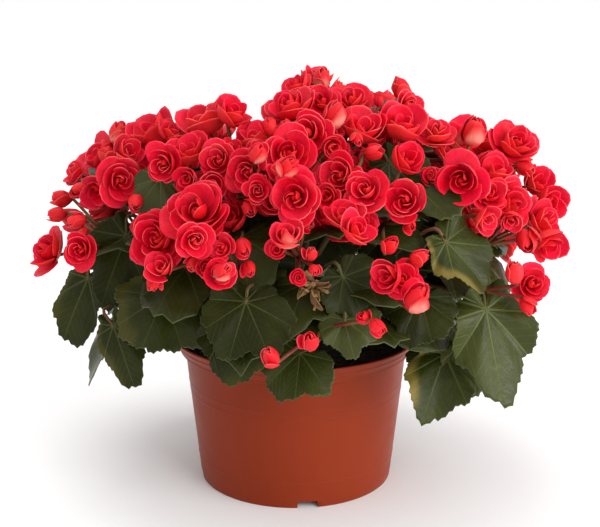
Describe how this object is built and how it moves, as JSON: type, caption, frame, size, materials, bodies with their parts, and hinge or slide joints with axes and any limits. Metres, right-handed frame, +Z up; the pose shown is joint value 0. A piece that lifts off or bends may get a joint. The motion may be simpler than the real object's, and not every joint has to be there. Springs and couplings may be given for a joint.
{
  "type": "potted begonia",
  "caption": "Flowering begonia in a terracotta-coloured plastic pot: a dome of toothed leaves and red double blooms on forked stalks",
  "frame": {"origin": "the middle of the pot's foot, on the surface that the pot stands on; the plant's box is nearly centred over it", "axes": "+Z up along the pot's axis, +X to the right and -Y towards the front, the side that the picture shows"},
  "size_m": [0.4776, 0.4611, 0.376],
  "materials": {
    "pot": "satin",
    "soil": "matte",
    "green": "satin",
    "petal": "satin"
  },
  "bodies": {
    "root": {"pot": "pot", "soil": "soil", "leafy_stems": "green", "spray_left_high": "petal", "spray_left_edge": "petal", "spray_left_front": "petal", "spray_front_left": "petal", "spray_upper_left": "petal", "spray_upper_mid_left": "petal", "spray_mid_left": "petal", "spray_top_left": "petal", "spray_top_right": "petal", "spray_mid_top": "petal", "spray_middle": "petal", "spray_mid_right": "petal", "spray_right_middle": "petal", "spray_top_far_right": "petal", "spray_right_high": "petal", "spray_right_rose": "petal", "spray_right_low": "petal", "spray_right_front": "petal", "spray_right_edge": "petal", "spray_low_front": "petal", "spray_back_top_right": "petal", "spray_back_top": "petal", "spray_back_top_left": "petal", "spray_back_right": "petal", "spray_back_mid_right": "petal", "spray_back_mid": "petal", "spray_back_mid_left": "petal", "spray_back_left": "petal", "spray_low_right": "petal", "spray_low_back_right": "petal", "spray_low_back_mid_right": "petal", "spray_low_back": "petal", "spray_low_back_mid_left": "petal", "spray_low_back_left": "petal"}
  },
  "joints": []
}
